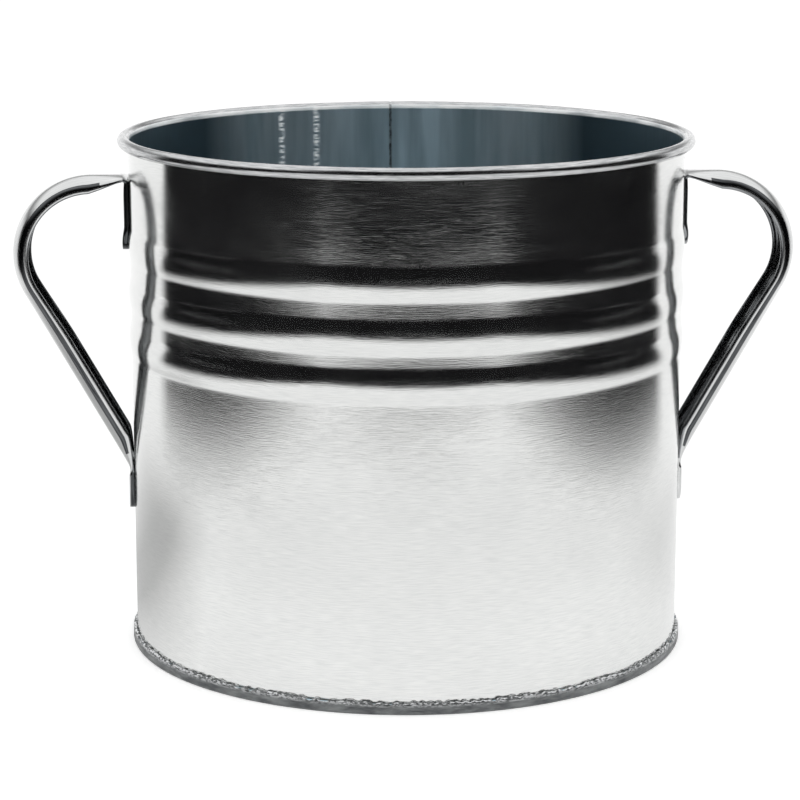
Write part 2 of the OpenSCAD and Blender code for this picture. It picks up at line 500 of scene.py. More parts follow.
@dataclass(frozen=True)
class InnerZinc:
    """The bucket's inside: duller bluish zinc with painted shade darkening it towards both handles,
    upright scuffs, two dried runs of lime, a painted highlight as a white band along the rim's inner
    edge, and a dark line at the lap."""

    name: str = "zinc_inside"
    light: Triple = (0.74, 0.88, 0.95)
    shade: Triple = (0.41, 0.54, 0.6)
    # Colour of the painted shade that darkens the inside towards both handles.
    painted_side_shade: Triple = (0.09, 0.14, 0.17)
    # White of the lime runs and of the painted highlight along the rim's inner edge.
    bright: Triple = (0.95, 0.96, 0.96)
    seam: Triple = (0.12, 0.13, 0.14)
    gloss: Span = (0.3, 0.5)
    metal: float = 0.9
    runs: Span = (0.0456, 0.0305)
    # Heights over which the painted highlight fades in; the inside is white and non-metal above them.
    painted_rim_highlight: Span = (0.1857, 0.1862)
    girth: float = 2 * math.pi * 0.1012

    def make(self) -> Material:
        """Builds the material: grain round the wall, soft upright streaks, the painted shade by the
        handles, the lime, the painted highlight at the rim and the seam's line."""
        bench = NodeBench(self.name)
        place = bench.coordinates("UV")
        wavering = bench.warped(place, (0.012, 0.007, 1.0), (0.0, 0.0008, 0.0))
        clouds = bench.noise(place, (0.02, 0.01, 1.0), detail=3.0)
        lines = bench.noise(wavering, (0.014, 0.0006, 1.0))
        streaks = bench.noise(place, (0.017, 0.16, 1.0), detail=3.0, rough=0.6)
        scuffs = bench.noise(place, (0.0016, 0.03, 1.0), detail=3.0, rough=0.7)
        tone = bench.sum(bench.ranged(streaks, (0.4, 0.62), (0.0, 0.85)), scuffs, 0.25)
        colour = bench.blend(bench.ranged(tone, (0.1, 0.9)), self.light, self.shade)
        round_wall = bench.axes(bench.warped(place, (0.01, 0.004, 1.0), (0.00012, 0.0, 0.0)))["X"]
        near = bench.maths("PINGPONG", round_wall, self.girth / 2)
        line = bench.ranged(near, (0.0002, 0.00075), (1.0, 0.0))
        gaps = bench.noise(place, (0.01, 0.0035, 1.0))
        worn = bench.product(line, bench.ranged(gaps, (0.36, 0.56), (0.15, 1.0)))
        where = bench.axes(bench.coordinates("Object"))
        aside = bench.maths("ABSOLUTE", where["X"])
        # Painted shade: the inside darkens towards both handles, by the distance from the middle along X.
        colour = bench.blend(bench.ranged(aside, (0.055, 0.074)), colour, self.painted_side_shade)
        # Painted highlight: a white, non-metal band along the inner top edge; the runs added below are
        # real dried lime.
        lime_and_painted_highlight = bench.product(bench.ranged(where["Z"], self.painted_rim_highlight),
                             bench.ranged(clouds, (0.35, 0.6), (0.6, 1.0)))
        beads = bench.noise(place, (0.005, 0.0011, 1.0), detail=1.0)
        drops = bench.ranged(beads, (0.4, 0.6), (0.0, 0.9))
        for run in self.runs:
            beside = bench.maths("ABSOLUTE", bench.maths("SUBTRACT", round_wall, run))
            stain = bench.ranged(beside, (0.0003, 0.0019), (1.0, 0.0))
            lime_and_painted_highlight = bench.sum(lime_and_painted_highlight, bench.product(stain, drops), 1.0)
        lime_and_painted_highlight = bench.ranged(lime_and_painted_highlight, (0.0, 1.0))
        colour = bench.blend(lime_and_painted_highlight, colour, self.bright)
        gloss = bench.ranged(bench.sum(streaks, scuffs, 0.4), (0.5, 0.9), self.gloss)
        bench.finish(bench.blend(worn, colour, self.seam), gloss)
        bench.join(bench.ranged(lime_and_painted_highlight, (0.0, 1.0), (self.metal, 0.0)), bench.shader.inputs["Metallic"])
        bench.relief(lines, 0.000014)
        return bench.material


@dataclass(frozen=True)
class FoldedZinc:
    """Zinc that cracked and dulled where the base seam was folded, with bright flecks."""

    name: str = "zinc_folded"
    dull: Triple = (0.22, 0.23, 0.23)
    dark: Triple = (0.11, 0.115, 0.12)
    fleck: Triple = (0.86, 0.87, 0.88)
    gloss: Span = (0.28, 0.55)
    edge: Span = (0.0026, 0.0042)

    def make(self) -> Material:
        """Builds the material: patches of dull grey, dark creases, and flecks along the top."""
        bench = NodeBench(self.name)
        place = bench.coordinates("UV")
        patches = bench.noise(place, (0.009, 0.0022, 1.0), detail=4.0, rough=0.65)
        specks = bench.noise(place, (0.0016, 0.0007, 1.0), rough=0.6)
        base = bench.blend(bench.ranged(patches, (0.35, 0.65)), self.dull, self.dark)
        upper = bench.ranged(bench.axes(bench.coordinates("Object"))["Z"], self.edge)
        bright = bench.ranged(bench.sum(specks, patches, 0.45), (0.68, 0.78))
        flecks = bench.product(bright, upper)
        bench.finish(bench.blend(flecks, base, self.fleck), bench.ranged(patches, (0.3, 0.7), self.gloss))
        bench.relief(bench.sum(patches, specks, 0.6), 0.00015, 0.8)
        return bench.material


@dataclass(frozen=True)
class SmallMetal:
    """A plain small metal finish on Object coordinates, mottled at its own scale."""

    name: str
    light: Triple
    shade: Triple
    gloss: Span
    grain: float
    depth: float
    metal: float = 1.0

    def make(self) -> Material:
        """Builds the material: two sizes of mottling drive tone, gloss and relief."""
        bench = NodeBench(self.name)
        place = bench.coordinates("Object")
        coarse = bench.noise(place, (self.grain,) * 3, detail=3.0, rough=0.6)
        fine = bench.noise(place, (self.grain * 0.22,) * 3)
        tone = bench.sum(coarse, fine, 0.5)
        colour = bench.blend(bench.ranged(tone, (0.5, 1.0)), self.light, self.shade)
        bench.finish(colour, bench.ranged(tone, (0.5, 1.0), self.gloss), self.metal)
        bench.relief(tone, self.depth)
        return bench.material


# ---------------------------------------------------------------- bucket


@dataclass
class BodySheet:
    """The rolled body: a beaded wall, its curl over the rim wire, its foot and its lap."""

    wall_r: float = 101.2
    sheet: float = 0.5
    rim_z: float = 186.4
    curl_r: float = 2.15
    curl_end: float = -135.0
    foot_z: float = 0.53
    fold: float = 0.45
    hook_r: float = 102.01
    hook_top: float = 3.9
    bead_zs: tuple[float, ...] = (114.4, 131.0, 149.0)
    bead_half: float = 5.6
    bead_rise: float = 0.7
    bead_soft: float = 0.14
    lap_w: float = 8.0
    lap_z: Span = (7.6, 181.25)
    columns: int = 288
    pucker_h: float = 0.12
    waver: float = 0.05
    groove_depth: float = 0.22
    groove_turn: float = 0.14
    unevenness: Ripple = field(default_factory=lambda: Ripple(7, 0.055, (2, 9), (60.0, 190.0)))

    @property
    def mid_r(self) -> float:
        """Radius of the middle of the sheet on the straight wall."""
        return self.wall_r - self.sheet / 2

    def bead(self, z: np.ndarray) -> np.ndarray:
        """How far the beads push the wall out: for each bead a circle's arc, a, eased into the
        flat wall as half of a + sqrt(a^2 + s^2), with s the softness of its edges.

        Args:
            z: Heights in millimetres.

        Returns:
            The rise at each height, in millimetres.
        """
        radius = (self.bead_half**2 + self.bead_rise**2) / (2 * self.bead_rise)
        off = np.abs(np.asarray(z)[..., None] - np.array(self.bead_zs)).min(axis=-1)
        inside = np.clip(radius**2 - off**2, 0.0, None)
        rise = np.sqrt(inside) - (radius - self.bead_rise)
        rise = np.maximum(rise, -6.0)
        soft = (rise + np.sqrt(rise**2 + self.bead_soft**2)) / 2
        return soft - 0.0008

    def sway(self, angle: np.ndarray, z: np.ndarray) -> np.ndarray:
        """Unevenness of the wall, fading out at the base seam and the rim."""
        hold = smooth_step(z, 6.0, 26.0) * (1 - smooth_step(z, 168.0, 184.0))
        return hold * self.unevenness.at(angle, z)

    def flare(self, angle: np.ndarray, z: np.ndarray) -> np.ndarray:
        """Puckers just above the base seam: their height times a bell curve of the place about
        5.6 mm up, times half of one plus a many-turned ripple."""
        pucker = Ripple(31, 1.0, (30, 150), (20.0, 40.0), 12).at(angle, z * 0.0)
        bell = np.exp(-(((z - 5.6) / 1.0) ** 2)) * (z > 3.0)
        return self.pucker_h * bell * np.clip(0.5 + 0.5 * pucker, 0.0, 1.2)

    def wall_heights(self) -> np.ndarray:
        """Heights along the straight wall, closest together on the beads."""
        first = self.foot_z + self.sheet / 2 + self.fold
        beads = [np.linspace(z - 6.9, z + 6.9, 25) for z in self.bead_zs]
        below = np.linspace(9.5, self.bead_zs[0] - 9.0, 20)
        above = np.linspace(self.bead_zs[-1] + 9.0, self.rim_z - 2.4, 8)
        top = self.rim_z - np.array([1.6, 0.8, 0.0])
        return np.concatenate([[first, 3.6], np.linspace(4.2, 7.4, 9), below, *beads, above, top])

    def centreline(self) -> tuple[np.ndarray, np.ndarray]:
        """Middle of the sheet from the hook in the base seam to the curl's edge, in (r, z).

        Returns:
            The points, (n, 2), and True for those that belong to the curl.
        """
        base = self.foot_z + self.sheet / 2
        hook = np.array([[self.hook_r, self.hook_top], [self.hook_r, 2.6]])
        out = arc((self.hook_r - self.fold, base + self.fold), self.fold, 0, -90, 5)
        back = arc((self.mid_r + self.fold, base + self.fold), self.fold, -90, -180, 5)
        z = self.wall_heights()[1:]
        wall = np.stack([self.mid_r + self.bead(z), z], axis=1)
        middle = self.curl_r - self.sheet / 2
        curl = arc((self.mid_r + middle, self.rim_z), middle, 180, self.curl_end, 32)[1:]
        points = np.concatenate([hook, out, back, wall, curl])
        rolled = np.arange(len(points)) >= len(points) - len(curl)
        return points, rolled

    def angles(self) -> np.ndarray:
        """Angles round the body from the lap seam, with extra ones beside the seam."""
        even = np.linspace(0, 360, self.columns, endpoint=False)
        fine = np.array([0.05, 0.1, 0.16, 0.24, 0.36, 0.55, 0.85])
        turns = np.unique(np.concatenate([even, fine, 360 - fine]))
        return np.radians(90.0 + turns)

    def body_skin(self) -> Skin:
        """The sheet's two faces carried round the axis, as (r cos a, r sin a, z), where
        r = middle +- half the sheet + unevenness, with a fine groove at the lap."""
        middle, rolled = self.centreline()
        _, normal = path_frame(middle)
        ring, run = sheet_ring(middle, normal, self.sheet)
        angle = self.angles()
        r, z = ring[:, 0][:, None], ring[:, 1][:, None]
        on_curl = np.concatenate([rolled, rolled[::-1]])[:, None]
        hooked = np.abs(r - self.mid_r) > 2.0 * self.sheet
        sway = self.sway(angle[None, :], z) + self.flare(angle[None, :], z) * ~hooked
        sway = sway * ~on_curl
        waver = self.waver * (np.cos(5 * angle + 0.7) + np.cos(11 * angle + 2.1) - 2) / 2 - 0.01
        off_seam = (np.degrees(angle) - 90 + 180) % 360 - 180
        groove = self.groove_depth * np.exp(-((off_seam / self.groove_turn) ** 2))
        inner_face = np.repeat([0.0, 1.0], len(middle))[:, None]
        pull = groove[None, :] * inner_face
        centre = np.array([self.mid_r + self.curl_r - self.sheet / 2, self.rim_z])
        in_r = np.where(on_curl, -(r - centre[0]) / self.curl_r, 0.9)
        in_z = np.where(on_curl, -(z - centre[1]) / self.curl_r, 0.0)
        radius = r + sway + on_curl * waver[None, :] + pull * in_r
        height = z + on_curl * waver[None, :] + pull * in_z
        wide = np.concatenate([angle - angle[0], [2 * math.pi]]) * self.wall_r * MM
        tall = np.concatenate([run, run[:1]]) * MM
        count = len(middle)
        slots = np.repeat([0, 1], count)
        slots[count - 1: count + int(rolled.sum()) - 3] = 2
        return woven_skin(turned(radius, angle[None, :], height), pattern(wide, tall), slots, Ends.LOOP)

    def lap_skin(self) -> Skin:
        """The outer layer of the lap: a thin strip bent to the wall's radius and its beads, its
        section a rounded bar carried up the wall."""
        z = self.wall_heights()
        z = np.unique(np.clip(z, *self.lap_z))
        half = self.lap_w / 2 / self.wall_r
        across = np.concatenate([np.linspace(-1, 1, 9), np.linspace(1, -1, 9)])
        edge = 1 - 0.35 * smooth_step(np.abs(across), 0.9, 1.0)
        lift = np.concatenate([np.full(9, self.sheet), np.full(9, -0.03)]) * edge
        angle = math.pi / 2 + across * half
        sway = self.sway(angle[None, :], z[:, None])
        radius = self.wall_r + self.bead(z)[:, None] + lift[None, :] + sway
        wide = np.concatenate([across, across[:1]]) * self.lap_w / 2 * MM + 0.31
        grid = turned(radius, angle[None, :], z[:, None])
        return woven_skin(grid, pattern(wide, z * MM), np.zeros(len(z), int), Ends.CAPPED)

    def build(self, outside: Material, inside: Material, rim: Material) -> Piece:
        """Lays the body and its lap and dresses them.

        Args:
            outside: Finish of the outer face.
            inside: Finish of the inner face.
            rim: Finish of the curl.

        Returns:
            The piece.
        """
        piece = lay_piece("bucket_body", [self.body_skin(), self.lap_skin()], [outside, inside, rim])
        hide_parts("body_shell")
        return piece


@dataclass
class BasePan:
    """The base: a flat floor set up inside the body and a skirt folded into the seam."""

    sheet: float = 0.5
    fold: float = 0.45
    floor_z: float = 6.5
    chuck_r: float = 100.42
    skirt_r: float = 102.54
    seam_top: float = 4.6
    hook_r: float = 101.48
    hook_end: float = 2.0
    seam_r: float = 100.9
    skirt_from: float = 102.0
    dish_r: float = 99.0
    dish_h: float = 0.25
    columns: int = 900
    ragged: float = 0.95

    def centreline(self) -> np.ndarray:
        """Middle of the sheet from the axis to the end of the hook, in (r, z)."""
        top = self.floor_z - self.sheet / 2
        foot = self.sheet / 2
        floor = np.stack([np.linspace(0.5, self.chuck_r - self.fold - 1.0, 12), np.full(12, top)], 1)
        corner = arc((self.chuck_r - self.fold, top - self.fold), self.fold, 90, 0, 6)
        inner = arc((self.chuck_r + self.fold, foot + self.fold), self.fold, 180, 270, 5)
        outer = arc((self.skirt_r - self.fold, foot + self.fold), self.fold, 270, 360, 6)
        crest = self.seam_top - self.sheet / 2
        over = arc((self.skirt_r - self.fold, crest - self.fold), self.fold, 0, 90, 6)
        down = arc((self.hook_r + 0.2, crest - 0.2), 0.2, 90, 180, 4)
        skirt = np.array([[self.skirt_r, 1.5], [self.skirt_r, 2.3], [self.skirt_r, 3.0]])
        end = np.array([[self.hook_r, 3.1], [self.hook_r, self.hook_end]])
        return np.concatenate([floor, corner, inner, outer, skirt, over, down, end])

    def roughness(self, angle: np.ndarray) -> np.ndarray:
        """How far the seam's upper edge is torn down: the sharp troughs of summed cosines of
        many turns, from 0 to 1."""
        fine = Ripple(21, 1.0, (60, 230), (50.0, 90.0), 14).at(angle, np.zeros_like(angle))
        slow = Ripple(22, 1.0, (9, 40), (50.0, 90.0), 8).at(angle, np.zeros_like(angle))
        return np.clip(0.32 + 0.3 * fine + 0.22 * slow, 0.0, 1.0)

    def build(self, floor: Material, folded: Material) -> Piece:
        """Carries the pan's section round the axis, wears its upper edge and dresses it.

        Args:
            floor: Finish of the flat floor.
            folded: Finish of the seam.

        Returns:
            The piece.
        """
        middle = self.centreline()
        _, normal = path_frame(middle)
        normal[0] = (0.0, np.sign(normal[0, 1]))
        ring, run = sheet_ring(middle, normal, self.sheet)
        angle = np.linspace(0, 2 * math.pi, self.columns, endpoint=False)
        r, z = ring[:, 0][:, None], ring[:, 1][:, None]
        on_seam = (r > self.seam_r) * smooth_step(z, 3.1, 4.5)
        torn = self.roughness(angle)[None, :]
        dents = Ripple(23, 0.05, (30, 120), (8.0, 20.0), 10).at(angle[None, :], z)
        on_skirt = r > self.skirt_from
        side = on_skirt * smooth_step(z, 0.5, 1.4)
        share = r / self.dish_r
        dish = (share < 1) * self.dish_h * np.cos(np.clip(share, 0, 1) * math.pi) * (1 - share)
        buckle = Ripple(24, 0.05, (1, 4), (60.0, 120.0), 6).at(angle[None, :], r) * (r < 96) * (r / 96)
        height = z - on_seam * torn * self.ragged + dish + buckle
        radius = r - side * (0.06 + np.abs(dents)) - on_seam * torn * 0.1 * on_skirt
        grid = turned(radius, angle[None, :], height)
        wide = np.linspace(0, 2 * math.pi, self.columns + 1) * self.skirt_r * MM
        uv = pattern(wide, run * MM)
        slots = np.where(ring[:, 0] > self.seam_r, 1, 0)
        piece = lay_piece("base_pan_sheet", [woven_skin(grid, uv, slots, Ends.CAPPED)], [floor, folded])
        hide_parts("base_pan")
        return piece


@dataclass
class Handle:
    """A side handle: strip pressed to a D channel with rolled lips, its ends pressed flat,
    bent to the wall and spot welded."""

    side: Side
    body: BodySheet
    width: float = 18.0
    depth: float = 6.0
    strip: float = 0.6
    shoulder_r: float = 3.0
    shoulder_h: float = 5.0
    lip_r: float = 0.8
    crown_z: float = 173.5
    bend_x: float = 114.66
    bend_r: float = 29.0
    lean: float = 29.5
    foot_z: float = 63.87
    tab_t: float = 1.2
    tab_w: float = 16.0
    upper_end: float = 146.0
    lower_end: float = 48.87
    upper_press: float = 12.0
    lower_press: float = 11.0
    lip_fold: float = 0.8
    knee_r: float = 2.6
    ankle_r: float = 9.0
    leg_press: float = 0.16
    # Length of the right handle's lower tab that is left without painted shade.
    bright_tab: float = 17.0
    outer_faces: int = 34
    # Columns of the painted dark reflection along both shoulders of the channel.
    painted_dark_faces: tuple[int, ...] = (2, 3, 4, 5, 6, 7, 26, 27, 28, 29, 30, 31)

    def channel(self) -> tuple[np.ndarray, np.ndarray]:
        """Outline of the pressed section, (u across, h up from the crown), and of the same
        points when the strip is pressed flat.

        Returns:
            Two outlines with the same number of points.
        """
        half, r, t = self.width / 2, self.shoulder_r, self.strip
        su, sv = half - r, self.shoulder_h
        crown = (su**2 + sv**2 - r**2) / (2 * (sv - r))
        turn = math.degrees(math.atan2(crown - sv, su))
        lip = (half - self.lip_r, -self.depth + self.lip_r)
        outer_right = arc((su, -sv), r, 0, turn, 9)
        outer_crown = arc((0, -crown), crown, turn, 180 - turn, 19)[1:-1]
        outer = np.concatenate([outer_right, outer_crown, outer_right[::-1] * (-1, 1)])
        inner_right = arc((su, -sv), r - t, 14.2, turn, 9)
        inner_crown = arc((0, -crown), crown - t, turn, 180 - turn, 19)[1:-1]
        inner = np.concatenate([inner_right * (-1, 1), inner_crown * (-1, 1), inner_right[::-1]])
        bulb = arc((-lip[0], lip[1]), self.lip_r, 180, 458, 15)[1:-1]
        outline = np.concatenate([outer, bulb, inner, bulb[::-1] * (-1, 1)])
        press = (self.tab_w / 2 - self.tab_t / 2) / half
        flat_outer = np.stack([outer[:, 0] * press, np.zeros(len(outer))], axis=1)
        flat_inner = np.stack([inner[:, 0] * press * 1.06, np.full(len(inner), -self.tab_t)], axis=1)
        nose = arc((-press * half, -self.tab_t / 2), self.tab_t / 2, 90, 270, 15)[1:-1]
        flat = np.concatenate([flat_outer, nose, flat_inner, nose[::-1] * (-1, 1)])
        return outline, flat

    def crown_path(self) -> tuple[np.ndarray, np.ndarray]:
        """Line of the crown from the upper tab's end to the lower tab's end, in (x, z), and how
        flat the strip is pressed at each point: up the wall, over a tight knee, out, round the
        bend, down the leaning leg, and through a soft ankle onto the wall.

        Returns:
            Points (n, 2) and flatness (n), 1 for a tab and 0 for the full channel.
        """
        wall = self.body.wall_r
        face = wall + self.tab_t
        k, lean = self.knee_r, math.radians(self.lean)
        top = self.crown_z
        rise = np.linspace(0, 1, 34) ** 1.5
        up_z = self.upper_end + 0.02 + (top - k - self.upper_end - 0.02) * rise
        up = np.stack([np.full(34, wall), up_z], axis=1)
        knee = arc((wall + k, top - k), k, 180, 90, 9)[1:]
        out_x = np.linspace(wall + k, self.bend_x, 14)[1:]
        out = np.stack([out_x, np.full(13, top)], axis=1)
        bend_z = top - self.bend_r
        bend = arc((self.bend_x, bend_z), self.bend_r, 90, -self.lean, 74)[1:]
        toe = self.ankle_r * math.tan(lean / 2)
        corner = np.array([face, self.foot_z])
        leg_dir = np.array([-math.sin(lean), -math.cos(lean)])
        leg_end = corner - leg_dir * toe
        leg = bend[-1] + (leg_end - bend[-1]) * np.linspace(0, 1, 70)[1:, None]
        ankle = arc((face + self.ankle_r, self.foot_z - toe), self.ankle_r,
                    180 - self.lean, 180, 12)[1:]
        fall = 1 - np.linspace(1, 0, 26)[1:] ** 1.5
        low_z = ankle[-1, 1] + (self.lower_end + 0.02 - ankle[-1, 1]) * fall
        down = np.stack([np.full(25, face), low_z], axis=1)
        path = np.concatenate([up, knee, out, bend, leg, ankle, down])
        run = path_length(path)
        knee_run = run[len(up) + len(knee) - 1]
        ankle_run = run[len(path) - len(down) - len(ankle)]
        top_share = np.clip((run - knee_run + 3.0) / (self.upper_press + 3.0), 0.0, 1.0)
        low_share = np.clip((run - ankle_run + self.lower_press) / (self.lower_press + 3.0), 0.0, 1.0)
        flat = (1 - top_share) ** 1.15 + low_share**1.25
        return path, flat

    def slots(self, run: np.ndarray, flat: np.ndarray) -> np.ndarray:
        """Material slot of each face: 0 on the outside, 1 (painted shade) on the lips and the open inner
        side, and 2 (near-black) as a painted dark reflection along the shoulders and as painted shade on
        the backs of the left handle's tabs. The right handle's lower tab takes slot 0 all over, with no
        painted shade.

        Args:
            run: Distance along the crown's path at each row.
            flat: Flatness at each row.

        Returns:
            The slots, (rows, columns).
        """
        slots = np.zeros((len(run), len(self.channel()[0])), int)
        # Painted shade: the lips and the open inner side take a darker copy of the strip's zinc.
        slots[:, self.outer_faces:-1] = 1
        # Painted dark reflection: near-black bands along both shoulders wherever the channel is full.
        painted_dark_columns = np.isin(np.arange(slots.shape[1]), self.painted_dark_faces)
        slots[(flat < 0.3)[:, None] & painted_dark_columns[None, :]] = 2
        # Painted shade on the tabs' backs: near-black on the left handle, the lighter shade on the right.
        slots[flat > 0.9, self.outer_faces:-1] = 2 if self.side is Side.LEFT else 1
        # The right handle's lower tab keeps the plain strip finish all over, with no painted shade.
        if self.side is Side.RIGHT:
            slots[run > run[-1] - self.bright_tab] = 0
        return slots

    def build(self, finish: Material, painted_hollow_shade: Material, painted_dark_band: Material) -> Piece:
        """Carries the section along the crown's path. A point is crown + h x normal, with u
        across; the outline is blended with the flat one by the flatness, narrowed to a round
        tip at both ends, and wrapped round the wall where it is a tab. The channel is pressed
        a little deeper down the leg, and a near-black band of painted dark reflection runs along each
        shoulder.

        Args:
            finish: Finish of the strip.
            painted_hollow_shade: Darker copy of the strip's zinc, painted shade on its rolled lips and
                its open inner side.
            painted_dark_band: Near-black finish, painted dark reflection along its shoulders and painted
                shade on the backs of the left handle's tabs.

        Returns:
            The piece.
        """
        outline, flat_outline = self.channel()
        path, flat = self.crown_path()
        tangent, _ = path_frame(path)
        normal = np.stack([-tangent[:, 1], tangent[:, 0]], axis=1)
        run = path_length(path)
        f = flat[:, None]
        leg = smooth_step(run, 95.0, 125.0)[:, None] * self.leg_press
        u = outline[:, 0] * (1 - f) + flat_outline[:, 0] * f
        h = outline[:, 1] * (1 + leg) * (1 - f) + flat_outline[:, 1] * f
        half = self.tab_w / 2
        upper = 1 - smooth_step(run, 20.0, 34.0)
        lower = smooth_step(run, run[-1] - 20.0, run[-1] - 12.0)
        rolled = np.exp(-(((np.abs(flat_outline[:, 0]) - 0.84 * half) / 1.1) ** 2)) * self.lip_fold
        back = flat_outline[:, 1] < -0.7 * self.tab_t
        front = flat_outline[:, 1] > -0.3 * self.tab_t
        h = h - (rolled * back)[None, :] * (upper * flat**2)[:, None]
        h = h + (rolled * front)[None, :] * (lower * flat**2)[:, None]
        to_end = np.minimum(run, run[-1] - run)
        tip = np.sqrt(np.clip(1 - (1 - np.clip(to_end / half, 0, 1)) ** 2, 1e-4, 1))
        u = u * tip[:, None]
        roll = 0.05 * np.cos(run / 17.0 + self.side.value)
        x = path[:, 0][:, None] + normal[:, 0][:, None] * h
        z = path[:, 1][:, None] + normal[:, 1][:, None] * h
        y = u + (roll * (1 - flat))[:, None]
        hug = f**3
        drop = self.body.wall_r - np.sqrt(self.body.wall_r**2 - y**2)
        angle = 0.0 if self.side is Side.RIGHT else math.pi
        swell = self.body.bead(z) + self.body.sway(np.full_like(z, angle), z)
        near_wall = 1 - smooth_step(x, self.body.wall_r + 2.0, self.body.wall_r + 5.0)
        x = x - drop * hug + swell * near_wall
        sign = self.side.value
        grid = np.stack([x * sign, y * sign, z], axis=-1) * MM
        around = path_length(np.concatenate([outline, outline[:1]])) * MM
        skin = woven_skin(grid, pattern(around, run * MM)[..., ::-1], self.slots(run, flat), Ends.CAPPED)
        side = self.side.name.lower()
        piece = lay_piece(f"handle_strip_{side}", [skin], [finish, painted_hollow_shade, painted_dark_band])
        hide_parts(f"handle_{side}")
        return piece


@dataclass
class SpotWelds:
    """The electrode marks of the spot welds on the tabs' faces."""

    body: BodySheet
    mark_r: float = 2.3
    proud: float = 0.14
    tab_t: float = 1.2
    pitch: float = 8.0
    heights: tuple[float, ...] = (161.5, 55.87)

    def mark(self, angle: float, z: float) -> Skin:
        """One mark: a shallow lens whose face is a raised ring round a sunk middle, the height
        being proud x (ring - dip) with both bell curves of the distance from the centre.

        Args:
            angle: Angle round the bucket in radians.
            z: Height of the centre.

        Returns:
            The mark's skin.
        """
        rho = np.concatenate([np.linspace(0.05, 1, 12), np.linspace(1, 0.05, 5)[1:]]) * self.mark_r
        top = np.arange(len(rho)) < 12
        ring = np.exp(-(((rho - 1.7) / 0.35) ** 2)) - 0.35 * np.exp(-((rho / 1.2) ** 2)) + 0.12
        lift = np.where(top, self.proud * np.maximum(ring, -0.2), -0.35)
        turn = np.linspace(0, 2 * math.pi, 32, endpoint=False)
        across = rho[:, None] * np.cos(turn)[None, :]
        up = rho[:, None] * np.sin(turn)[None, :]
        face = self.body.wall_r + self.tab_t + lift[:, None] + self.body.sway(
            np.full_like(up, angle), z + up)
        swing = angle + across / self.body.wall_r
        wide = np.linspace(0, 1, 33) * 2 * math.pi * 0.002
        slots = np.zeros(len(rho), int)
        return woven_skin(turned(face, swing, z + up), pattern(wide, rho * MM), slots, Ends.CAPPED)

    def build(self, finish: Material) -> Piece:
        """Lays all the marks as one piece and dresses them."""
        step = self.pitch / 2 / self.body.wall_r
        skins = [
            self.mark(side + turn, z)
            for side in (0.0, math.pi) for turn in (-step, step) for z in self.heights
        ]
        piece = lay_piece("weld_marks", skins, [finish])
        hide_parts("handle_welds")
        return piece


@dataclass
class CarriedNodes:
    """The CAD nodes that stay as they are: the rim wire and the sealant in the seam."""

    def dress(self, node: str, finish: Material) -> None:
        """Gives a CAD node its finish.

        Args:
            node: Name of the node.
            finish: Its material.
        """
        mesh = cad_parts[node].data
        if not mesh.materials:
            mesh.materials.append(finish)
        for index in range(len(mesh.materials)):
            mesh.materials[index] = finish
        LOG.info("dressed %s with %s", node, finish.name)


# ---------------------------------------------------------------- studio


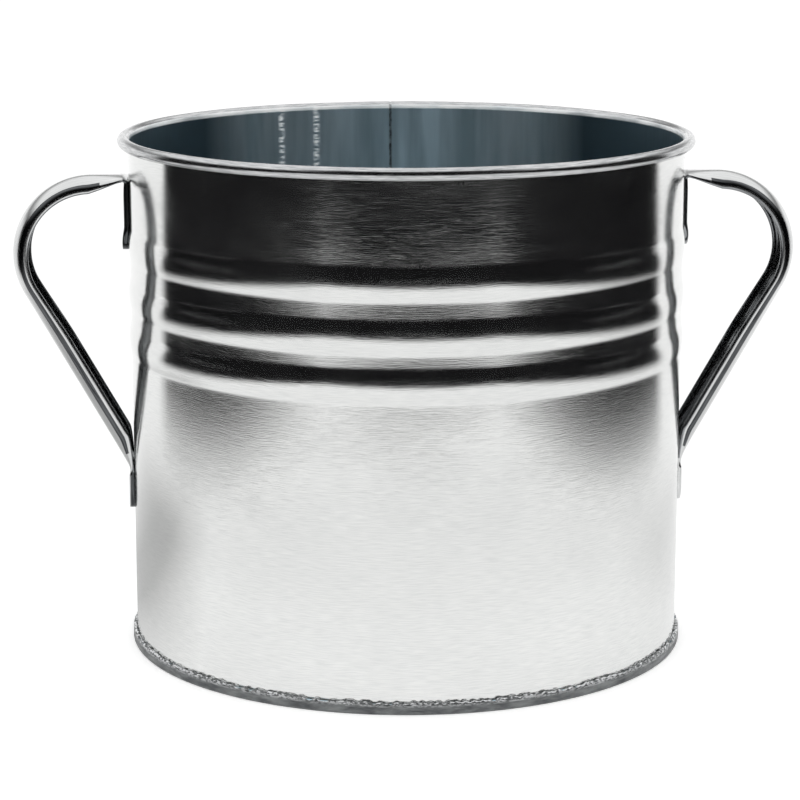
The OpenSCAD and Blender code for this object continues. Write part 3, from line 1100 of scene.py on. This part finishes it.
@dataclass
class Studio:
    """Pale floor, soft light from all round, and dark flags that only reflections see. Each pair
    of sizes is where a fade starts and where it ends, in metres."""

    floor_size: float = 14.0
    floor_tone: float = 0.93
    floor_mottle: float = 0.012
    sky: float = 1.17
    # Reach and strength of the floor's painted glow round the bucket.
    glow_reach: Span = (0.09, 0.27)
    glow: float = 0.3
    flag_tone: float = 0.008
    flag_size: float = 6.0
    flag_lift: float = 0.0004
    table_middle: float = 0.02
    table_side: Span = (0.35, 0.53)
    table_front: Span = (-0.54, -0.80)
    table_behind: Span = (-0.06, 0.02)
    table_spread: float = 0.52
    patch_start: Span = (-0.06, 0.04)
    patch_end: Span = (0.1, 0.3)
    patch_turn: Span = (-0.05, 0.1)
    patch_side: Span = (0.24, 0.36)
    patch: float = 0.48
    curtain_r: float = 3.2
    curtain_h: float = 5.6
    curtain_front: Span = (-2.6, -1.6)
    curtain_tall: Span = (3.4, 5.4)
    curtain_low: Span = (1.2, 2.2)
    gap_side: Span = (1.3, 1.6)
    gap_top: Span = (0.7, 1.3)

    def plane(self, name: str, points: np.ndarray, cols: int) -> Piece:
        """Lays a stage surface from rows of points.

        Args:
            name: Name of the surface.
            points: Points row by row, (n, 3).
            cols: Points a row.

        Returns:
            The stage object.
        """
        rows = len(points) // cols
        r = np.repeat(np.arange(rows - 1), cols - 1)
        c = np.tile(np.arange(cols - 1), rows - 1)
        first = r * cols + c
        quads = np.stack([first, first + 1, first + cols + 1, first + cols], axis=1)
        mesh = bpy.data.meshes.new(name)
        mesh.from_pydata(points.tolist(), [], quads.tolist())
        stage = bpy.data.objects.new(name, mesh)
        bpy.context.scene.collection.objects.link(stage)
        return stage

    def square(self, name: str, size: float, z: float) -> Piece:
        """Lays a level square stage surface round the origin, of a size and at a height."""
        h = size / 2
        return self.plane(name, np.array([[-h, -h, z], [h, -h, z], [-h, h, z], [h, h, z]]), 2)

    def floor(self) -> None:
        """A wide plain pale floor, with a painted glow round the bucket that lightens its contact shadow.
        """
        floor = self.square("studio_floor", self.floor_size, 0.0)
        bench = NodeBench("pale_floor")
        place = bench.coordinates("Object")
        tone = bench.noise(place, (0.5, 0.5, 0.5))
        dimmer = self.floor_tone - self.floor_mottle
        colour = bench.blend(tone, (self.floor_tone,) * 3, (dimmer,) * 3)
        bench.join(colour, bench.shader.inputs["Base Color"])
        bench.shader.inputs["Roughness"].default_value = 0.85
        bench.shader.inputs["Specular IOR Level"].default_value = 0.0
        away = bench.add("VectorMath", "LENGTH")
        bench.join(place, away.inputs[0])
        # Painted light: the floor glows round the bucket, fading out over glow_reach, to lighten the
        # bucket's contact shadow.
        glow = bench.ranged(away.outputs["Value"], self.glow_reach, (self.glow, 0.0))
        bench.shader.inputs["Emission Color"].default_value = (1.0, 1.0, 1.0, 1.0)
        bench.join(glow, bench.shader.inputs["Emission Strength"])
        floor.data.materials.append(bench.material)

    def dress_flag(self, flag: Piece, bench: NodeBench, strength: Socket) -> None:
        """Gives a flag a dull glow that fades to clear by a mask, and hides it from the camera,
        from shadows and from diffuse light, so that only reflections show it.

        Args:
            flag: The flag.
            bench: The bench that made the mask.
            strength: Mask from 0, clear, to 1, full.
        """
        glow = bench.add("Emission")
        glow.inputs["Color"].default_value = (self.flag_tone, self.flag_tone, self.flag_tone * 1.06, 1)
        mix = bench.add("MixShader")
        bench.join(strength, mix.inputs[0])
        bench.join(bench.add("BsdfTransparent").outputs[0], mix.inputs[1])
        bench.join(glow.outputs[0], mix.inputs[2])
        bench.join(mix.outputs[0], bench.output.inputs["Surface"])
        bench.tree.nodes.remove(bench.shader)
        flag.data.materials.append(bench.material)
        flag.visible_camera = False
        flag.visible_diffuse = False
        flag.visible_shadow = False
        flag.visible_transmission = False

    def table_edges(self) -> None:
        """A dark flag over the floor beyond the white table. It is clear over the table and again
        far behind, and a fainter patch of it lies just behind the bucket."""
        flag = self.square("table_edge_flag", self.flag_size, self.flag_lift)
        bench = NodeBench("table_edge")
        place = bench.axes(bench.coordinates("Object"))
        sideways = bench.maths("ABSOLUTE", bench.maths("ADD", place["X"], self.table_middle))
        wide = bench.ranged(sideways, self.table_side)
        front = bench.ranged(place["Y"], self.table_front)
        back = bench.sum(place["Y"], sideways, -self.table_spread)
        behind = bench.ranged(back, self.table_behind, (1.0, 0.0))
        edge = bench.product(bench.maths("MAXIMUM", wide, front), behind)
        patch = bench.product(bench.ranged(place["Y"], self.patch_start, (0.0, self.patch)),
                              bench.ranged(place["Y"], self.patch_end, (1.0, 0.0)))
        patch = bench.product(patch, bench.ranged(place["X"], self.patch_turn, (1.0, 0.35)))
        patch = bench.product(patch, bench.ranged(sideways, self.patch_side, (1.0, 0.0)))
        self.dress_flag(flag, bench, bench.maths("MAXIMUM", edge, patch))

    def dark_room(self) -> None:
        """A dark curtain all round, tall in front and low at the sides, fading out above, that
        leaves a low clear gap behind: a cylinder, (r cos a, r sin a, z)."""
        turn, rise = np.meshgrid(np.radians(np.linspace(-90, 270, 121)),
                                 np.linspace(0.0005, self.curtain_h, 14))
        wall = turned(self.curtain_r / MM, turn, rise / MM).reshape(-1, 3)
        flag = self.plane("dark_room_flag", wall, 121)
        bench = NodeBench("dark_room")
        place = bench.axes(bench.coordinates("Object"))
        in_front = bench.ranged(place["Y"], self.curtain_front, (1.0, 0.0))
        tall = bench.product(bench.ranged(place["Z"], self.curtain_tall, (1.0, 0.0)), in_front)
        above = bench.maths("MAXIMUM", tall, bench.ranged(place["Z"], self.curtain_low, (1.0, 0.0)))
        aside = bench.ranged(place["Y"], self.gap_side, (1.0, 0.0))
        hung = bench.maths("MAXIMUM", aside, bench.ranged(place["Z"], self.gap_top, (0.0, 0.9)))
        self.dress_flag(flag, bench, bench.product(above, hung))

    def sky_light(self) -> None:
        """Even soft light from the whole room."""
        world = bpy.data.worlds.new("soft_room")
        world.use_nodes = True
        back = world.node_tree.nodes["Background"]
        back.inputs["Color"].default_value = (1.0, 1.0, 1.0, 1.0)
        back.inputs["Strength"].default_value = self.sky
        bpy.context.scene.world = world

    def build(self) -> None:
        """Sets up the floor, the flags and the light."""
        self.floor()
        self.table_edges()
        self.dark_room()
        self.sky_light()
        settings = bpy.context.scene.view_settings
        settings.view_transform = "Standard"
        settings.look = "None"


@dataclass
class Viewpoint:
    """The camera: a long lens a little above the rim, looking down at the front."""

    place: Triple = (-0.0617, -0.9802, 0.3037)
    heading: float = 3.47
    pitch: float = 12.38
    lens: float = 121.43

    def build(self) -> None:
        """Sets the camera up and makes it the scene's own."""
        data = bpy.data.cameras.new("studio_camera")
        data.lens = self.lens
        data.sensor_width = 36.0
        data.clip_start, data.clip_end = 0.02, 50.0
        camera = bpy.data.objects.new("studio_camera", data)
        bpy.context.scene.collection.objects.link(camera)
        turn, dip = math.radians(self.heading), math.radians(self.pitch)
        aim = Vector((math.sin(turn) * math.cos(dip), math.cos(turn) * math.cos(dip), -math.sin(dip)))
        camera.location = self.place
        camera.rotation_mode = "QUATERNION"
        camera.rotation_quaternion = aim.to_track_quat("-Z", "Y")
        bpy.context.scene.camera = camera


def main() -> None:
    """Builds the bucket piece by piece, then the studio, and notes the sizes."""
    logging.basicConfig(level=logging.INFO, format="%(message)s")
    Viewpoint().build()
    outside = GrainedZinc("zinc_outside").make()
    rim = GrainedZinc("zinc_rim", light=(0.61, 0.615, 0.62), shade=(0.3, 0.31, 0.32),
                      gloss=(0.14, 0.28), grain=(0.006, 0.0004), relief=0.00001, clouds=0.011).make()
    strip = GrainedZinc("zinc_strip", light=(0.7, 0.705, 0.705), shade=(0.5, 0.51, 0.51),
                        gloss=(0.13, 0.24), grain=(0.02, 0.0005), relief=0.000008).make()
    # Darker copy of the strip's zinc: painted shade on the handles' lips and open inner sides.
    painted_hollow_shade = GrainedZinc("zinc_painted_hollow_shade", light=(0.36, 0.37, 0.38), shade=(0.06, 0.065, 0.07),
                         gloss=(0.12, 0.28), grain=(0.03, 0.0009), relief=0.00001, clouds=0.01).make()
    # Near-black copy of the strip's zinc: painted dark reflection on the handles' shoulders, painted
    # shade on the left tabs' backs.
    painted_dark_band = GrainedZinc("zinc_painted_dark_band", light=(0.12, 0.125, 0.13), shade=(0.02, 0.021, 0.023),
                         gloss=(0.15, 0.3), grain=(0.02, 0.0006), relief=0.00001, clouds=0.01).make()
    floor = GrainedZinc("zinc_floor", light=(0.66, 0.69, 0.7), shade=(0.46, 0.5, 0.52),
                        gloss=(0.3, 0.42)).make()
    inside = InnerZinc().make()
    folded = FoldedZinc().make()
    mark = SmallMetal("weld_face", (0.62, 0.62, 0.63), (0.36, 0.36, 0.38), (0.25, 0.5), 0.0012,
                      0.00004).make()
    wire = SmallMetal("drawn_wire", (0.58, 0.58, 0.58), (0.4, 0.4, 0.41), (0.25, 0.4), 0.003,
                      0.00002).make()
    compound = SmallMetal("seam_compound", (0.12, 0.125, 0.13), (0.07, 0.075, 0.08), (0.6, 0.8),
                          0.002, 0.0001, 0.0).make()
    body = BodySheet()
    pieces = [
        body.build(outside, inside, rim),
        BasePan().build(floor, folded),
        Handle(Side.RIGHT, body).build(strip, painted_hollow_shade, painted_dark_band),
        Handle(Side.LEFT, body).build(strip, painted_hollow_shade, painted_dark_band),
        SpotWelds(body).build(mark),
    ]
    carried = CarriedNodes()
    carried.dress("rim_wire", wire)
    carried.dress("seam_sealant", compound)
    Studio().build()
    for piece in pieces:
        count = len(piece.data.loops) - 2 * len(piece.data.polygons)
        LOG.info("%s: %d triangles", piece.name, count)


if __name__ == "__main__":
    main()
